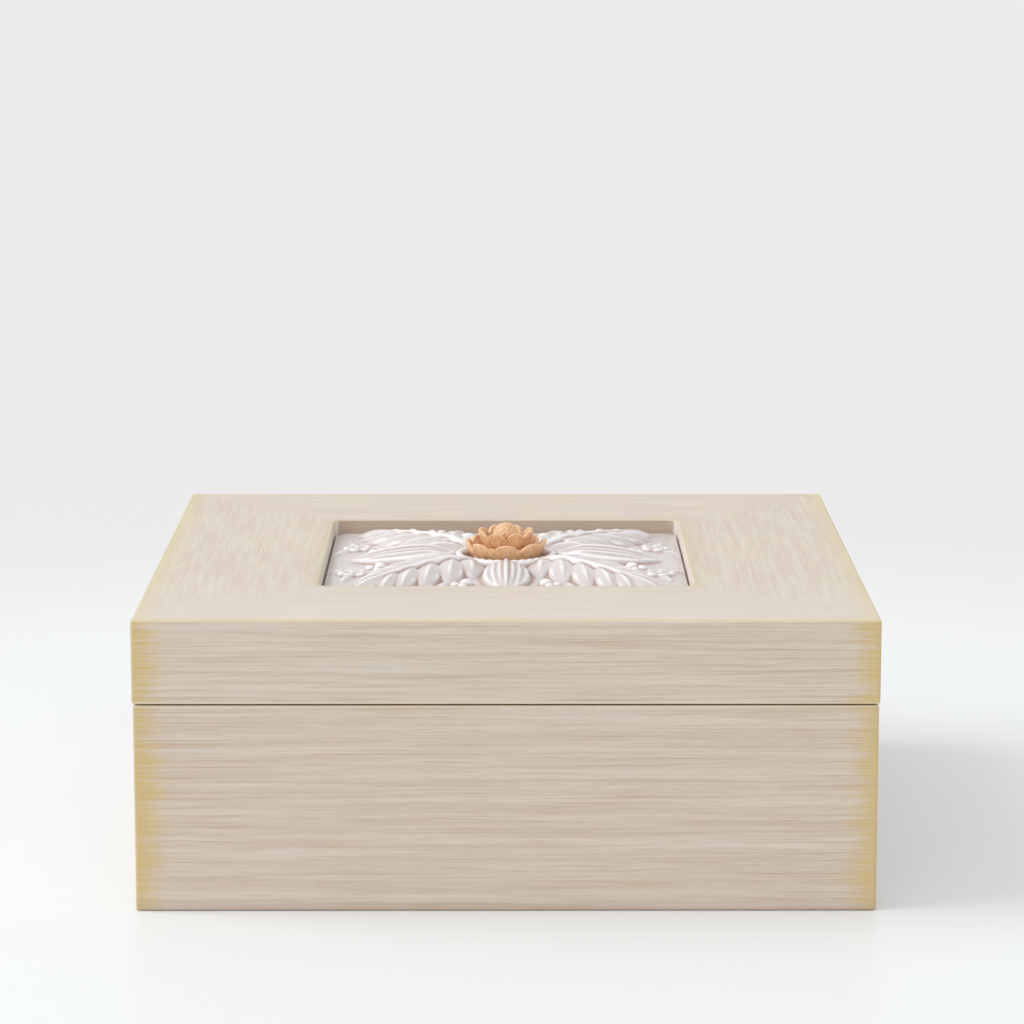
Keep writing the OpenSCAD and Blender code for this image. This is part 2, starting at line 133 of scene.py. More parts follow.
class Finish(Graph):                 # one material and its nodes
    def __init__(self, name):
        self.material = bpy.data.materials.new(name)
        self.material.use_nodes = True
        super().__init__(self.material.node_tree)

    def place(self):                 # object coordinates in millimetres, as x, y and z
        where = self.node("ShaderNodeTexCoord", output="Object")
        scaled = self.node("ShaderNodeVectorMath", {"operation": "SCALE"}, {0: where, "Scale": 1 / mm})
        return [self.node("ShaderNodeSeparateXYZ", inputs={0: scaled}, output=axis) for axis in "XYZ"]

    def facing(self):                # the surface's own normal, as x, y and z
        normal = self.node("ShaderNodeTexCoord", output="Normal")
        return [self.node("ShaderNodeSeparateXYZ", inputs={0: normal}, output=axis) for axis in "XYZ"]

    def vector(self, x, y, z):
        return self.node("ShaderNodeCombineXYZ", inputs={0: x, 1: y, 2: z})

    # noise with grains of this size along each axis, or along all of them, mm
    def noise(self, spot, size, detail=2.0, roughness=0.5, shift=(0, 0, 0)):
        spans = size if isinstance(size, tuple) else (size, size, size)
        parts = [part / span + move for part, span, move in zip(spot, spans, shift)]
        inputs = {"Vector": self.vector(*parts), "Scale": 1.0, "Detail": detail, "Roughness": roughness}
        return self.node("ShaderNodeTexNoise", inputs=inputs)

    def blend(self, factor, first, second):
        settings = {"data_type": "RGBA", "clamp_factor": True}
        return self.node("ShaderNodeMix", settings, {0: factor, 6: first, 7: second}, output=2)

    def choose(self, factor, first, second):
        return self.node("ShaderNodeMix", {"data_type": "FLOAT"}, {0: factor, 2: first, 3: second})

    def attribute(self, name):
        return self.node("ShaderNodeAttribute", {"attribute_name": name}, output="Fac")

    def bump(self, height, depth, strength):   # depth in millimetres
        inputs = {"Height": height, "Distance": depth * mm, "Strength": strength}
        return self.node("ShaderNodeBump", inputs=inputs)

    def done(self, inputs):
        shader = self.node("ShaderNodeBsdfPrincipled", inputs=inputs)
        self.node("ShaderNodeOutputMaterial", inputs={"Surface": shader})
        return self.material


# Finishes

wash = {
    "base": tone(204, 189, 171), "lid": tone(206, 195, 177), "pale": tone(215, 205, 194),
    "tan": tone(190, 163, 140), "rose": tone(204, 184, 167), "ochre": tone(204, 178, 114),
    # cream is partly worn pale paint and partly a painted edge highlight
    "cream": tone(228, 219, 194), "top": tone(213, 203, 189), "topRose": tone(211, 189, 177),
    # the top tones are paler than the sides, partly as their own paint and partly as painted sheen
    "topPale": tone(224, 216, 206), "topWarm": tone(217, 208, 185), "topOchre": tone(217, 202, 152),
    # recess is painted shade for the window's end walls
    "olive": tone(203, 190, 150), "recess": tone(188, 170, 153), "reveal": tone(233, 226, 217),
    # foot is painted shade where the walls meet the floor
    "bare": tone(216, 196, 165), "bareLine": tone(190, 163, 128), "foot": tone(160, 138, 118),
    "band": 10.5,                    # reach of the ochre from an upright edge, mm
    "ragged": 17.0, "patchy": 8.0,   # how unevenly it ends, mm
    "topBand": 8.0, "windowBand": 7.0,
    "mitreWander": 9.0,              # how unevenly the strokes change over at the mitres, mm
    "topDepth": (1.5, 1.2),          # where the top's paint begins and is full, mm below the top
    "bareDepth": (2.6, 4.0),         # where the wash ends, mm behind the outer faces
    "overTop": 1.0, "overRail": 0.2, # bare wood ends this far above the base and the rails' undersides, mm
    "noFoot": 8.0,                   # keeps the foot's shade off the lid, mm
    "wander": 3.0, "sway": (36.0, 36.0, 10.0), "swayHeight": 0.9, "patch": (30.0, 30.0, 5.0),
    # marks: size along, across and up the boards, detail, roughness, shift
    "fine": ((10.0, 0.34, 0.34), 3.0, 0.65),
    "strokes": ((85.0, 1.4, 1.4), 3.0, 0.6, (0, 0, 31.0)),
    "lines": ((60.0, 0.36, 0.36), 2.0, 0.5, (7.0, 0, 0)),
    "broad": ((110.0, 5.0, 5.0), 2.0, 0.5, (0, 0, 5.0)),
    "comb": ((90.0, 0.5, 0.5), 2.0, 0.6, (3.0, 0, 0)),
    "grain": ((75.0, 1.1, 1.1), 3.0, 0.6),
    # the same on the lid's top, where the marks are flat
    "fleck": ((26.0, 0.6, 1.0), 3.0, 0.6, (0, 0, 4.0)),
    "sweep": ((34.0, 2.4, 1.0), 3.0, 0.6, (0, 0, 14.0)),
    "haze": ((26.0, 26.0, 1.0), 3.0, 0.5, (0, 0, 9.0)),
}


def washedWood(name, ground, half, low, high, bareBelow, foot):
    f = Finish(name)
    spot = f.place()
    x, y, z = spot
    faceX, _, up = f.facing()
    ax, ay = abs(x), abs(y)
    outer, inner = ax.most(ay), ax.least(ay)
    topBegins, topFull = wash["topDepth"]
    top = up.rise(0.4, 0.8) * z.rise(lidTop - topBegins, lidTop - topFull)

    # strokes run along each board; on the lid's top they change over unevenly at the mitres
    wander = f.noise(spot, wash["wander"])
    turned = (ax - ay + (wander - 0.5) * wash["mitreWander"]).rise(-0.4, 0.4)
    along, across = f.choose(turned, x, y), f.choose(turned, y, x)
    level = z + (f.noise(spot, wash["sway"]) - 0.5) * wash["swayHeight"]
    board = (along, across, level)
    fine, strokes = f.noise(board, *wash["fine"]), f.noise(board, *wash["strokes"])
    lines, broad = f.noise(board, *wash["lines"]), f.noise(board, *wash["broad"])
    comb, patch = f.noise(board, *wash["comb"]), f.noise(spot, wash["patch"])

    paint = f.blend(broad.rise(0.35, 0.68) * 0.4, ground, wash["rose"])
    paint = f.blend(strokes.rise(0.42, 0.64) * 0.6, paint, wash["pale"])
    paint = f.blend(strokes.fade(0.34, 0.46) * 0.25, paint, wash["tan"])
    paint = f.blend(fine.rise(0.48, 0.7) * 0.48, paint, wash["pale"])
    paint = f.blend(lines.rise(0.54, 0.68) * 0.66, paint, wash["tan"])
    paint = f.blend(fine.fade(0.3, 0.46) * 0.42, paint, wash["tan"])

    # the top is paler, partly its own paint and partly painted sheen, with rosy flecks that are strongest on
    # the stiles
    flat = (along, across, 0.0)
    fleck, sweep = f.noise(flat, *wash["fleck"]), f.noise(flat, *wash["sweep"])
    haze = f.noise((x, y, 0.0), *wash["haze"])
    topPaint = f.blend(haze.rise(0.4, 0.62) * 0.75, wash["top"], wash["topWarm"])
    topPaint = f.blend(broad.rise(0.45, 0.65) * (1.0 - turned) * 0.4, topPaint, wash["topRose"])
    topPaint = f.blend(fleck.rise(0.49, 0.64) * (0.4 + turned * 0.4), topPaint, wash["topRose"])
    topPaint = f.blend(sweep.rise(0.46, 0.62) * 0.55, topPaint, wash["topRose"])
    topPaint = f.blend(fleck.fade(0.34, 0.48) * 0.32, topPaint, wash["topPale"])
    topPaint = f.blend(sweep.fade(0.36, 0.5) * 0.4, topPaint, wash["topPale"])
    # painted light: the top's front is paler than its back, as light falls off towards the back
    topPaint = f.blend((0.0 - y).rise(30.0, 95.0) * 0.42, topPaint, wash["topPale"])
    topPaint = f.blend(fine.rise(0.5, 0.7) * (1.0 - turned) * 0.3, topPaint, wash["topPale"])
    topPaint = f.blend(lines.rise(0.55, 0.7) * (1.0 - turned) * 0.25, topPaint, wash["topRose"])
    paint = f.blend(top, paint, topPaint)

    # ochre shows through at the upright edges, and softly along the top's outer and window edges
    rag = (strokes * 0.4 + comb * 0.6 - 0.5) * wash["ragged"] + (patch - 0.5) * wash["patchy"]
    side = (half - inner + rag).fade(0.0, wash["band"]) * (0.62 + comb.fade(0.36, 0.62) * 0.33)
    leftRight = (half - ax + rag * 0.3).fade(-2.0, wash["topBand"]) * 0.68
    frontBack = (half - ay + rag * 0.05).fade(0.3, 1.4) * 0.8
    window = (outer - windowHalf + rag * 0.04).fade(0.2, 1.2) * 0.4
    beside = (ax - windowHalf + rag * 0.3).fade(-1.0, wash["windowBand"])
    beside = beside * (ay - windowHalf).fade(-1.0, 3.0)
    paint = f.blend((1.0 - top) * side, paint, wash["ochre"])
    paint = f.blend(top * beside * 0.45, paint, wash["olive"])
    paint = f.blend(top * leftRight.most(frontBack).most(window), paint, wash["topOchre"])

    # thin cream arrises along the seam and round the lid's top, partly worn pale paint and partly a painted
    # edge highlight; the window's end walls are darker than its sides, as painted shade
    rim = (z - low).least(high - z) + (wander - 0.5) * 0.3
    arrisWearAndHighlight = rim.fade(0.15, 0.75) * (1.0 - top) * (z - foot).rise(2.0, 4.0)
    paint = f.blend(arrisWearAndHighlight * 0.65, paint, wash["cream"])
    # painted shade: the walls darken towards the foot, where contact shade falls
    paint = f.blend((z - foot).fade(0.0, 4.0) * 0.3, paint, wash["foot"])
    # painted shade: the window's end walls are darker, standing in for the recess's shade; its side walls
    # keep a paler paint
    recess = (outer - windowHalf).fade(0.3, 0.9) * (z - bareBelow).rise(0.0, 0.3) * (1.0 - top)
    ends = f.blend(strokes.rise(0.4, 0.62) * 0.45, wash["recess"], wash["tan"])
    ends = f.blend(fine.rise(0.5, 0.68) * 0.4, ends, ground)
    paint = f.blend(recess, paint, f.blend(abs(faceX).rise(0.5, 0.8), ends, wash["reveal"]))

    # inner faces and the meeting edges were left bare
    grain = f.noise(board, *wash["grain"])
    bareWood = f.blend(grain.rise(0.42, 0.72) * 0.6, wash["bare"], wash["bareLine"])
    bareWood = f.blend(lines.rise(0.57, 0.7) * 0.35, bareWood, wash["bareLine"])
    bare = (half - outer + (wander - 0.5) * 2.0).rise(*wash["bareDepth"])
    bare = bare * z.fade(bareBelow, bareBelow + 0.3)
    meeting = abs(up).rise(0.7, 0.95) * (1.0 - top)
    colour = f.blend(bare.most(meeting), paint, bareWood)

    rough = 0.48 + (fine - 0.5) * 0.25 + (strokes - 0.5) * 0.15
    bump = f.bump(fine * 0.6 + lines * 0.5 + strokes * 0.5, 0.1, 0.5)
    return f.done({"Base Color": colour, "Roughness": rough, "Normal": bump, "Specular IOR Level": 0.5})


plain = {
    "wood": tone(211, 188, 152), "line": tone(180, 149, 110), "pale": tone(224, 206, 175),
    "sway": (110.0, 30.0, 30.0), "rings": (160.0, 2.6, 2.6), "warp": 2.5, "pores": (12.0, 0.3, 0.3),
}


def plainWood(name):
    f = Finish(name)
    spot = f.place()
    sway = f.noise(spot, plain["sway"])
    rings = f.noise(spot, plain["rings"], 3.0, 0.6, (0, sway * plain["warp"], 0))
    pores = f.noise(spot, plain["pores"])
    colour = f.blend(rings.rise(0.4, 0.72) * 0.55, plain["wood"], plain["line"])
    colour = f.blend(rings.fade(0.3, 0.46) * 0.5, colour, plain["pale"])
    colour = f.blend(pores.rise(0.58, 0.72) * 0.35, colour, plain["line"])
    bump = f.bump(pores * 0.6 + rings * 0.4, 0.1, 0.5)
    return f.done({"Base Color": colour, "Roughness": 0.55 + (rings - 0.5) * 0.2, "Normal": bump})


pearl = {
    "ground": tone(215, 207, 206), "lilac": tone(206, 197, 198), "leaf": tone(222, 215, 214),
    # white is partly white paint on the crests, partly a painted highlight
    "white": tone(248, 246, 245), "wash": tone(174, 138, 117),
    "cloud": 14.0, "speck": 0.6,
    "brush": (1.2, 9.0, 3.0), "brushWarp": 6.0, "craze": (5.0, 6.0, 6.0), "crazeWarp": 2.0,
}


def pearlPaint(name):
    f = Finish(name)
    spot = f.place()
    crease, relief = f.attribute("crease"), f.attribute("relief")
    cloud = f.noise(spot, pearl["cloud"], 3.0)
    brush = f.noise(spot, pearl["brush"], 3.0, 0.6, (cloud * pearl["brushWarp"], 0, 0))
    speck = f.noise(spot, pearl["speck"])
    craze = abs(f.noise(spot, pearl["craze"], 3.0, 0.5, (cloud * pearl["crazeWarp"], 0, 0)) - 0.5)
    colour = f.blend(cloud.rise(0.38, 0.62) * 0.8, pearl["ground"], pearl["lilac"])
    colour = f.blend(brush.rise(0.5, 0.72) * 0.55, colour, pearl["leaf"])
    colour = f.blend(craze.fade(0.002, 0.014) * brush.rise(0.4, 0.6) * 0.4, colour, pearl["wash"])
    colour = f.blend(relief.rise(0.4, 1.6) * 0.4, colour, pearl["leaf"])
    sunk = (crease + (brush - 0.5) * 0.06).rise(0.025, 0.16)
    colour = f.blend(sunk * 0.7, colour, pearl["wash"])
    # white on the crests: partly white paint, partly a painted highlight
    crestWhiteAndHighlight = (0.0 - crease + (speck - 0.5) * 0.05).rise(0.04, 0.13)
    colour = f.blend(crestWhiteAndHighlight * 0.9, colour, pearl["white"])
    rough = 0.32 + sunk * 0.25 + (speck - 0.5) * 0.16
    bump = f.bump(speck * 0.3 + brush * 0.7, 0.12, 0.5)
    return f.done({"Base Color": colour, "Roughness": rough, "Normal": bump,
                   "Coat Weight": 0.4 - sunk * 0.35, "Coat Roughness": 0.2})


honey = {
    # dark is partly a dark glaze and partly painted shade in the creases; light also serves as a painted
    # highlight on the ridges
    "light": tone(240, 197, 153), "mid": tone(217, 168, 122), "dark": tone(136, 94, 64),
    "line": tone(182, 132, 92),
    "sway": 9.0, "rings": (1.1, 14.0, 1.6), "warp": 2.0, "pores": (0.25, 4.0, 0.3),
}


def honeyWood(name):
    f = Finish(name)
    spot = f.place()
    crease = f.attribute("crease")
    sway = f.noise(spot, honey["sway"])
    rings = f.noise(spot, honey["rings"], 3.0, 0.6, (sway * honey["warp"], 0, 0))
    pores = f.noise(spot, honey["pores"])
    colour = f.blend(rings.rise(0.35, 0.65) * 0.8, honey["light"], honey["mid"])
    colour = f.blend(pores.rise(0.6, 0.72) * 0.3, colour, honey["line"])
    # darker in the creases: partly a dark glaze in the hollows, partly painted shade; lighter on the ridges:
    # a painted highlight
    sunk = (crease + (sway - 0.5) * 0.02).rise(0.008, 0.075)
    colour = f.blend(sunk * 0.85, colour, honey["dark"])
    colour = f.blend(crease.fade(-0.1, -0.03) * 0.6, colour, honey["light"])
    bump = f.bump(pores * 0.5 + rings * 0.5, 0.08, 0.45)
    return f.done({"Base Color": colour, "Roughness": 0.42 + sunk * 0.2, "Normal": bump,
                   "Coat Weight": 0.2, "Coat Roughness": 0.3})


brass = {
    "bright": tone(205, 170, 96), "dull": tone(150, 117, 62), "spot": tone(96, 72, 42),
    "cloud": 3.0, "scratch": (6.0, 0.12, 0.12), "spots": 0.8,
}


def agedBrass(name):
    f = Finish(name)
    spot = f.place()
    cloud = f.noise(spot, brass["cloud"], 3.0)
    scratch = f.noise(spot, brass["scratch"], 2.0, 0.6)
    spots = f.noise(spot, brass["spots"])
    colour = f.blend(cloud.rise(0.35, 0.7) * 0.6, brass["bright"], brass["dull"])
    colour = f.blend(spots.rise(0.64, 0.78) * 0.35, colour, brass["spot"])
    rough = 0.28 + cloud * 0.15 + (scratch - 0.5) * 0.2
    bump = f.bump(scratch, 0.03, 0.5)
    return f.done({"Base Color": colour, "Metallic": 1.0, "Roughness": rough, "Normal": bump})


wool = {
    "ground": tone(150, 135, 122), "dark": tone(120, 105, 94), "light": tone(176, 162, 149),
    "fibre": 0.9, "hair": 0.25, "warp": 4.0, "cloud": 18.0,
}


def woolFelt(name):
    f = Finish(name)
    spot = f.place()
    fibre = f.noise(spot, wool["fibre"], 5.0, 0.7)
    hair = f.noise(spot, wool["hair"], 3.0, 0.6, (fibre * wool["warp"], 0, 0))
    cloud = f.noise(spot, wool["cloud"])
    colour = f.blend(fibre.rise(0.3, 0.6), wool["dark"], wool["ground"])
    colour = f.blend(hair.rise(0.5, 0.7) * 0.5, colour, wool["light"])
    colour = f.blend(cloud.rise(0.4, 0.65) * 0.12, colour, wool["light"])
    bump = f.bump(fibre * 0.5 + hair * 0.5, 0.3, 0.8)
    return f.done({"Base Color": colour, "Roughness": 0.95, "Normal": bump, "Sheen Weight": 0.4,
                   "Sheen Roughness": 0.5, "Specular IOR Level": 0.2})


baseWash = washedWood("washed wood, base", wash["base"], baseHalf, 0.0, baseTop,
                      baseTop + wash["overTop"], 0.0)
lidWash = washedWood("washed wood, lid", wash["lid"], lidHalf, lidLow, lidTop,
                     railLow + wash["overRail"], lidLow - wash["noFoot"])
bareBoard = plainWood("plain wood")
pearlFinish = pearlPaint("pearl paint")
honeyFinish = honeyWood("honey wood")
brassFinish = agedBrass("aged brass")
feltFinish = woolFelt("wool felt")

for name, node in nodes.items():
    if name.startswith("base_") and name.endswith("wall"):
        finish = baseWash
    elif name.endswith(("wall", "rail", "stile")):
        finish = lidWash
    elif name.endswith(("leaf", "pin", "screws")):
        finish = brassFinish
    else:
        finish = bareBoard
    node.data.materials.clear()
    node.data.materials.append(finish)
print("finishes: set on", len(nodes), "CAD nodes")


# Modelling helpers

def deselect():
    if bpy.context.object and bpy.context.object.mode != "OBJECT":
        bpy.ops.object.mode_set(mode="OBJECT")
    bpy.ops.object.select_all(action="DESELECT")


def activate(piece):
    deselect()
    piece.select_set(True)
    bpy.context.view_layer.objects.active = piece


def added(name, data):               # a new object in the scene
    piece = bpy.data.objects.new(name, data)
    bpy.context.scene.collection.objects.link(piece)
    return piece


def grid(name, columns, rows, size): # a flat square of cells, size in metres
    deselect()
    bpy.ops.mesh.primitive_grid_add(x_subdivisions=columns, y_subdivisions=rows, size=size)
    piece = bpy.context.object
    piece.name = piece.data.name = name
    return piece


def points(piece):
    flat = np.zeros(len(piece.data.vertices) * 3)
    piece.data.vertices.foreach_get("co", flat)
    return flat.reshape(-1, 3) / mm


def setPoints(piece, places):
    piece.data.vertices.foreach_set("co", (places * mm).ravel())
    piece.data.update()


def applyAll(piece):
    activate(piece)
    for modifier in list(piece.modifiers):
        bpy.ops.object.modifier_apply(modifier=modifier.name)


def thicken(piece, thick):           # gives a sheet its thickness, mm, on one side
    shell = piece.modifiers.new("thickness", "SOLIDIFY")
    shell.thickness = thick * mm
    shell.offset = 1
    applyAll(piece)


def joined(pieces, name):
    deselect()
    for piece in pieces:
        piece.select_set(True)
    bpy.context.view_layer.objects.active = pieces[0]
    bpy.ops.object.join()
    whole = bpy.context.object
    whole.name = whole.data.name = name
    return whole


def store(piece, name, values):
    layer = piece.data.attributes.new(name, "FLOAT", "POINT")
    layer.data.foreach_set("value", values.astype(np.float32))


def creases(piece, rounds):          # how deep each point lies in a hollow, mm; below 0 on ridges
    mesh = piece.data
    pairs = np.zeros(len(mesh.edges) * 2, int)
    mesh.edges.foreach_get("vertices", pairs)
    pairs = pairs.reshape(-1, 2)
    normals = np.zeros(len(mesh.vertices) * 3)
    mesh.vertices.foreach_get("normal", normals)
    start = points(piece)
    count = np.bincount(pairs.ravel(), minlength=len(start))[:, None].clip(1)
    smooth = start.copy()
    for step in range(rounds):
        total = np.zeros_like(smooth)
        np.add.at(total, pairs[:, 0], smooth[pairs[:, 1]])
        np.add.at(total, pairs[:, 1], smooth[pairs[:, 0]])
        smooth = (smooth + total / count) / 2
    return ((smooth - start) * normals.reshape(-1, 3)).sum(1)


def ease(value, start, end):
    share = np.clip((value - start) / (end - start), 0, 1)
    return share * share * (3 - 2 * share)


# Carved panel: one dense grid, raised into a pillow with leaves, small flowers and berries

panel = {
    "gap": 0.35, "cornerR": 3.6, "sink": 3.6, "crown": 1.2, "edgeWide": 5.0, "edgeDeep": 1.5,
    "seatGap": 0.1, "seatDeep": 0.6, "seatEdge": 0.5, "flangeTop": 2.9,
    "cells": 300, "cornerPower": 8, "leastR": 1e-6,
    "rounds": 20, "drawn": 0.7, "farthest": 0.08,   # drawing the grid together on slopes: share and limit, mm
    "softening": 3,                  # rounds that ease the sharpest edges
    "creaseRounds": 10, "smoothBelow": 70,
    "leafTop": 1.8, "leafPeak": 24.0, "tipLift": 0.9,
    "rootFrom": 1.5, "rootBack": 2, "rootDip": 1.9, "rootReach": 9.0,
    "corner": {
        "reach": 65.4, "bow": 36.3, "lengthCap": 70, "widthCap": 20, "drop": 1.3, "edge": 0.5,
        "curl": 0.8, "curlFrom": 0.55,
        "tipFrom": 45.0, "tipWidth": 6.8, "tipRise": 0.1,
        "ribHalf": 1.7, "ribTaper": 1.0, "ribLow": 0.6, "ribHigh": 0.9, "ribBack": 1, "ribShort": 12,
        "leaflets": [                # place on the midrib, length, width, angle from it
            (14.5, 19.0, 7.6, 47), (22.0, 20.5, 7.6, 42), (29.8, 20.0, 7.2, 37),
            (37.4, 18.2, 6.6, 31), (44.4, 15.4, 5.6, 25),
        ],
    },
    "side": {
        "reach": 46.6, "bow": 10.7, "lengthCap": 60, "widthCap": 9, "width": 14.0, "leastShare": 0.02,
        "flutes": 7, "fluteDeep": 0.32, "fluteLow": 0.3,
        "ribHigh": 0.6, "ribWide": 0.75, "ribShort": 8,
    },
    "bloom": {
        "out": 45.0, "along": 20.0, "r": 4.4, "petals": 5, "rise": 1.25, "edge": 0.35,
        "eyeR": 1.2, "eyeLift": 0.3,
        "leafLength": 8.2, "leafWidth": 3.6, "leafRise": 1.0, "leafFrom": 2.6, "headings": (75, 195, -45),
    },
    "berry": {
        "ring": 37.0, "off": 11.5, "r": 2.0, "dimple": 0.35, "dimpleR": 0.45,
        "cluster": [(0, 0, 1.0), (3.1, 1.0, 0.72), (0.9, 3.2, 0.66)],   # further out, aside, size
    },
    "collar": {"r": 1.3, "beads": 36, "edge": 0.4},
}
panelHalf = windowHalf - panel["gap"]
shoulder = lidTop - panel["sink"]
crownTop = shoulder + panel["crown"]
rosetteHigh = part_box("rosette")[1]
rosetteR = rosetteHigh.x / mm
seatR = rosetteR + panel["seatGap"]
seatZ = crownTop - panel["seatDeep"]
leafTop = lidTop + panel["leafTop"]
leafRoot = seatR + panel["rootFrom"] * panel["collar"]["r"]
tipZ = shoulder + panel["tipLift"]


def ovalDepth(u, v, length, width):  # depth inside a pointed oval that starts at 0 along u
    half = length / 2
    radius = (half * half + width * width / 4) / width
    return radius - np.hypot(u - half, np.abs(v) + radius - width / 2)


def turned(x, y, angle):             # coordinates along and across a direction
    c, s = math.cos(angle), math.sin(angle)
    return x * c + y * s, y * c - x * s


def arch(u, reach):                  # a leaf's back: it rises from under the collar and bends to the tip
    radius = ((reach - panel["leafPeak"]) ** 2 + (leafTop - tipZ) ** 2) / (2 * (leafTop - tipZ))
    dip = panel["rootDip"] * (1 - ease(u, leafRoot - panel["rootBack"], leafRoot + panel["rootReach"]))
    return leafTop - radius + np.sqrt(radius ** 2 - (u - panel["leafPeak"]) ** 2) - dip


def bowed(u, v, leaf):               # a leaf's plain surface: arched along it and bowed across it
    bow = leaf["bow"]
    u, v = np.clip(u, 0, leaf["lengthCap"]), np.clip(v, -leaf["widthCap"], leaf["widthCap"])
    return arch(u, leaf["reach"]) - bow + np.sqrt(bow ** 2 - v ** 2)


def laid(z, ground, depth, surface, edge=0.55):   # lays a shape's surface over what is there
    cover = ease(depth, -edge, edge)
    return np.maximum(z, ground + cover * (surface - ground))


def facets(depth, width):            # a leaflet's section: two hollowed facets that meet in a ridge
    share = np.clip(2 * depth / width, 0, 1)
    return 0.35 + 1.35 * share ** 1.7 - 0.25 * ease(share, 0.9, 1.0)


def cornerLeaf(z, ground, x, y, angle):
    leaf = panel["corner"]
    u, v = turned(x, y, angle)
    base = bowed(u, v, leaf) - leaf["drop"]
    for start, length, width, lean in reversed(leaf["leaflets"]):
        for side in (1, -1):
            p, q = turned(u - start, v, math.radians(lean) * side)
            depth = ovalDepth(p, q, length, width)
            curl = leaf["curl"] * ease(p, leaf["curlFrom"] * length, length)
            z = laid(z, ground, depth, base + facets(depth, width) - curl, leaf["edge"])
    length, width = leaf["reach"] - leaf["tipFrom"], leaf["tipWidth"]
    depth = ovalDepth(u - leaf["tipFrom"], v, length, width)
    z = laid(z, ground, depth, base + facets(depth, width) + leaf["tipRise"], leaf["edge"])
    ribHalf = leaf["ribHalf"] - leaf["ribTaper"] * ease(u, leafRoot, leaf["reach"])
    ends = np.minimum(u - leafRoot + leaf["ribBack"], leaf["reach"] - leaf["ribShort"] - u)
    depth = np.minimum(ribHalf - np.abs(v), ends)
    rib = base + leaf["ribLow"] + leaf["ribHigh"] * np.sqrt(np.clip(1 - (v / ribHalf) ** 2, 0, 1))
    return laid(z, ground, depth, rib, leaf["edge"])


def sideLeaf(z, ground, x, y, angle):
    leaf = panel["side"]
    u, v = turned(x, y, angle)
    width, length = leaf["width"], leaf["reach"] - leafRoot
    depth = ovalDepth(u - leafRoot, v, length, width)
    share = np.clip(1 - ((u - leafRoot - length / 2) / (length / 2)) ** 2, leaf["leastShare"], 1)
    half = width / 2 * np.sqrt(share)
    flutes = leaf["fluteDeep"] * np.cos(np.clip(np.abs(v) / half, 0, 1) * math.pi * leaf["flutes"])
    flutes = flutes - leaf["fluteLow"]
    rib = leaf["ribHigh"] * np.exp(-(v / leaf["ribWide"]) ** 2)
    rib = rib * (1 - ease(u, leaf["reach"] - leaf["ribShort"], leaf["reach"]))
    return laid(z, ground, depth, bowed(u, v, leaf) + flutes * ease(depth, 0.2, 1.0) + rib)


def bloomAt(z, ground, x, y, angle, side):   # a small open flower between three leaves
    bloom = panel["bloom"]
    out, along = turned(x, y, angle)
    p, q = out - bloom["out"], along * side - bloom["along"]
    for heading in bloom["headings"]:
        a, b = turned(p, q, math.radians(heading))
        depth = ovalDepth(a - bloom["leafFrom"], b, bloom["leafLength"], bloom["leafWidth"])
        share = np.clip(2 * depth / bloom["leafWidth"], 0, 1)
        leaf = ground + bloom["leafRise"] * (0.4 + 0.6 * share ** 1.5)
        z = laid(z, ground, depth, leaf, bloom["edge"])
    reach, around = np.hypot(p, q), np.arctan2(q, p)
    lobe = np.abs(np.cos(around * bloom["petals"] / 2))
    depth = bloom["r"] * (0.62 + 0.38 * lobe ** 0.7) - reach
    cup = bloom["rise"] * (0.45 + 0.55 * ease(reach, 0.6, bloom["r"])) * (0.6 + 0.4 * lobe ** 0.6)
    z = laid(z, ground, depth, ground + cup, bloom["edge"])
    eye = ground + bloom["eyeLift"]
    return berryAt(z, out, along * side, bloom["out"], bloom["along"], eye, bloom["eyeR"])


def berryAt(z, x, y, px, py, low, radius):
    berry = panel["berry"]
    reach = np.hypot(x - px, y - py)
    ball = low + np.sqrt(np.clip(radius ** 2 - reach ** 2, 0, None))
    dimple = berry["dimple"] * np.exp(-(reach / berry["dimpleR"]) ** 2)
    return np.where(reach < radius, np.maximum(z, ball - dimple), z)


def carving(x, y):                   # heights of the carved surface and of the pillow under it
    ground = shoulder + panel["crown"] * (1 - (x / panelHalf) ** 2) * (1 - (y / panelHalf) ** 2)
    qx, qy = np.abs(x) - panelHalf + panel["cornerR"], np.abs(y) - panelHalf + panel["cornerR"]
    beyond = np.hypot(np.maximum(qx, 0), np.maximum(qy, 0)) + np.minimum(np.maximum(qx, qy), 0)
    inset = np.clip(panel["cornerR"] - beyond, 0, None)
    share = np.clip(1 - inset / panel["edgeWide"], 0, 1)
    ground = ground - panel["edgeDeep"] * (1 - np.sqrt(1 - share ** 2))
    z = ground.copy()
    for quarter in range(4):
        angle = math.radians(90 * quarter)
        for side in (1, -1):
            z = bloomAt(z, ground, x, y, angle, side)
        z = sideLeaf(z, ground, x, y, angle)
    for quarter in range(4):
        z = cornerLeaf(z, ground, x, y, math.radians(45 + 90 * quarter))
    berry = panel["berry"]
    berryLow = shoulder + panel["crown"] / 2
    for quarter in range(4):
        out, along = turned(x, y, math.radians(90 * quarter))
        for side in (1, -1):
            for further, aside, size in berry["cluster"]:
                place = (berry["ring"] + further, berry["off"] + aside)
                z = berryAt(z, out, along * side, *place, berryLow, berry["r"] * size)

    # beaded collar and the rosette's seat
    reach, around = np.hypot(x, y), np.arctan2(y, x)
    bead = panel["collar"]["r"]
    swell = 0.7 + 0.3 * np.abs(np.cos(around * panel["collar"]["beads"] / 2))
    across = np.clip(1 - ((reach - seatR - bead) / bead) ** 2, 0, 1)
    collar = crownTop + bead + bead * swell * np.sqrt(across)
    z = laid(z, ground, bead - np.abs(reach - seatR - bead), collar, panel["collar"]["edge"])
    return seatZ + (z - seatZ) * ease(reach, seatR, seatR + panel["seatEdge"]), ground


